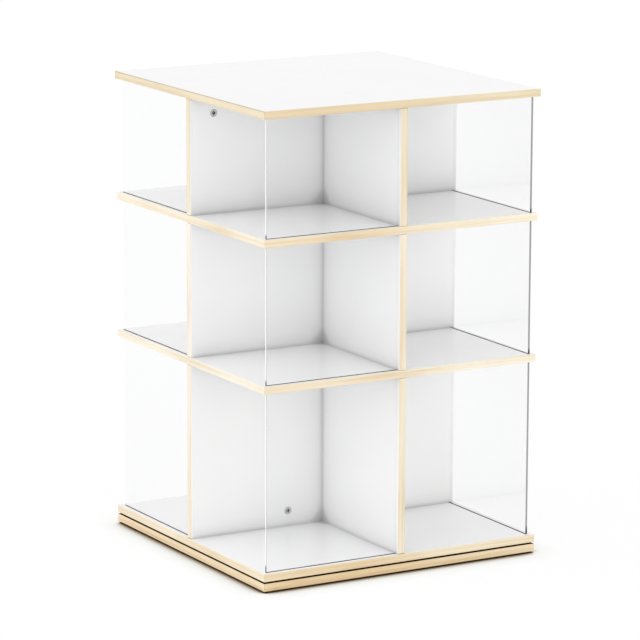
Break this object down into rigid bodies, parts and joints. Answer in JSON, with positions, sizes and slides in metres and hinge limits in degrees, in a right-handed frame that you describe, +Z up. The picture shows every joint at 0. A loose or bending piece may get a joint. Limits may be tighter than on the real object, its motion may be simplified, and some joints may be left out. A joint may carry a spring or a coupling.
{
  "type": "revolving bookcase",
  "caption": "Square tiered bookcase that turns on a base board: white boards with pale wood edges, crossed dividers, and clear panes that close half of each face.",
  "frame": {"origin": "on the floor, on the turning axis", "axes": "+Z up along the turning axis, -Y out of the front face, +X to the right of the front face"},
  "size_m": [0.6, 0.6, 0.91],
  "materials": {
    "white_laminate": "white laminate on board, satin",
    "pale_wood": "pale wood edge, clear lacquer",
    "clear_acrylic": "clear acrylic sheet, polished edges",
    "seal_rubber": "black sealing strip",
    "cast_zinc": "die-cast zinc, dull grey",
    "plated_steel": "zinc-plated steel",
    "turntable_steel": "pressed steel plate",
    "ball_steel": "polished steel balls",
    "cage_nylon": "natural nylon",
    "glide_plastic": "dark moulded plastic",
    "dowel_wood": "plain beech dowel"
  },
  "bodies": {
    "base": {"base_board": "white_laminate", "base_edge_strips": "pale_wood", "floor_glides": "glide_plastic", "lower_swivel_plate": "turntable_steel", "pivot_rivet": "plated_steel", "base_screws": "plated_steel"},
    "ball_set": {"ball_cage": "cage_nylon", "bearing_balls": "ball_steel"},
    "case": {"board_dowels": "dowel_wood", "bottom_board": "white_laminate", "bottom_board_screws": "plated_steel", "bottom_edge_strips": "pale_wood", "cam_bolts": "plated_steel", "cam_housings": "cast_zinc", "cross_dowels": "dowel_wood", "lower_back_divider": "white_laminate", "lower_back_pane": "clear_acrylic", "lower_divider_edge_strips": "pale_wood", "lower_front_divider": "white_laminate", "lower_front_pane": "clear_acrylic", "lower_left_pane": "clear_acrylic", "lower_pane_seals": "seal_rubber", "lower_right_pane": "clear_acrylic", "lower_shelf": "white_laminate", "lower_shelf_edge_strips": "pale_wood", "lower_through_divider": "white_laminate", "middle_back_divider": "white_laminate", "middle_back_pane": "clear_acrylic", "middle_divider_edge_strips": "pale_wood", "middle_front_divider": "white_laminate", "middle_front_pane": "clear_acrylic", "middle_left_pane": "clear_acrylic", "middle_pane_seals": "seal_rubber", "middle_right_pane": "clear_acrylic", "middle_through_divider": "white_laminate", "shelf_dowels": "dowel_wood", "top_board": "white_laminate", "top_edge_strips": "pale_wood", "upper_back_divider": "white_laminate", "upper_back_pane": "clear_acrylic", "upper_divider_edge_strips": "pale_wood", "upper_front_divider": "white_laminate", "upper_front_pane": "clear_acrylic", "upper_left_pane": "clear_acrylic", "upper_pane_seals": "seal_rubber", "upper_right_pane": "clear_acrylic", "upper_shelf": "white_laminate", "upper_shelf_edge_strips": "pale_wood", "upper_swivel_plate": "turntable_steel", "upper_through_divider": "white_laminate"}
  },
  "joints": [
    {"name": "turn", "type": "hinge", "parent": "base", "child": "case", "pos_m": [0, 0, 0.02025], "axis": [0, 0, 1], "continuous": true},
    {"name": "ball_orbit", "type": "hinge", "parent": "base", "child": "ball_set", "pos_m": [0, 0, 0.02025], "axis": [0, 0, 1], "continuous": true}
  ],
  "couplings": [
    {"joint": "ball_orbit", "follows": "turn", "ratio": 0.5}
  ]
}
